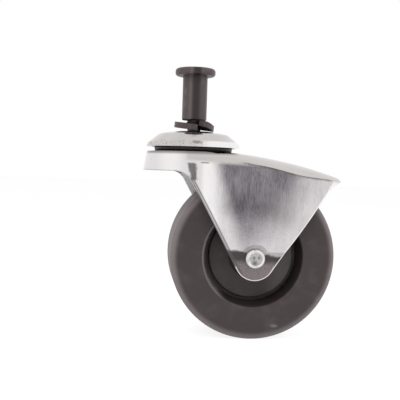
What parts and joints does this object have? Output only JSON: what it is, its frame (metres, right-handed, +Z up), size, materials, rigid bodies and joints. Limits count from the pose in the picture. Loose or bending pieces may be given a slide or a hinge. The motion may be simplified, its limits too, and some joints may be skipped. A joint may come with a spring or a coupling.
{
  "type": "swivel castor",
  "caption": "Swivel castor with a bright pressed fork, a domed ball swivel, a hard dark wheel and a black flanged barrel nut on its stud.",
  "frame": {"origin": "top of the domed cap on the swivel axis, where the stud leaves it", "axes": "+Z up along the stud; +X towards the trail, where the wheel hangs; the wheel turns about Y"},
  "size_m": [0.0753, 0.0402, 0.1037],
  "materials": {
    "bright_plate": "bright plated pressed steel, lightly brushed",
    "black_steel": "satin black oxide",
    "black_spring_steel": "black oxide spring steel",
    "zinc_steel": "zinc plated",
    "race_steel": "plain hardened steel, lightly greased",
    "ball_steel": "polished steel",
    "rivet_steel": "bright zinc, peened",
    "washer_nylon": "natural nylon",
    "bush_bronze": "sintered bronze",
    "wheel_rubber": "hard dark rubber, matt"
  },
  "bodies": {
    "stem": {"stud": "zinc_steel", "barrel_nut": "black_steel", "lock_washer": "black_spring_steel", "dome_cap": "bright_plate", "upper_race": "race_steel", "lower_race": "race_steel"},
    "bearing_balls": {"upper_balls": "ball_steel", "lower_balls": "ball_steel"},
    "fork": {"horn": "bright_plate", "axle_rivet": "rivet_steel", "axle_tube": "zinc_steel", "thrust_washer_near": "washer_nylon", "thrust_washer_far": "washer_nylon"},
    "wheel": {"wheel": "wheel_rubber", "hub_bush": "bush_bronze"}
  },
  "joints": [
    {"name": "swivel", "type": "hinge", "parent": "stem", "child": "fork", "pos_m": [0, 0, -0.009], "axis": [0, 0, 1], "continuous": true},
    {"name": "ball_roll", "type": "hinge", "parent": "stem", "child": "bearing_balls", "pos_m": [0, 0, -0.0064], "axis": [0, 0, 1], "continuous": true},
    {"name": "wheel_spin", "type": "hinge", "parent": "fork", "child": "wheel", "pos_m": [0.0233, 0, -0.0475], "axis": [0, 1, 0], "continuous": true}
  ],
  "couplings": [
    {"joint": "ball_roll", "follows": "swivel", "ratio": 0.5}
  ]
}
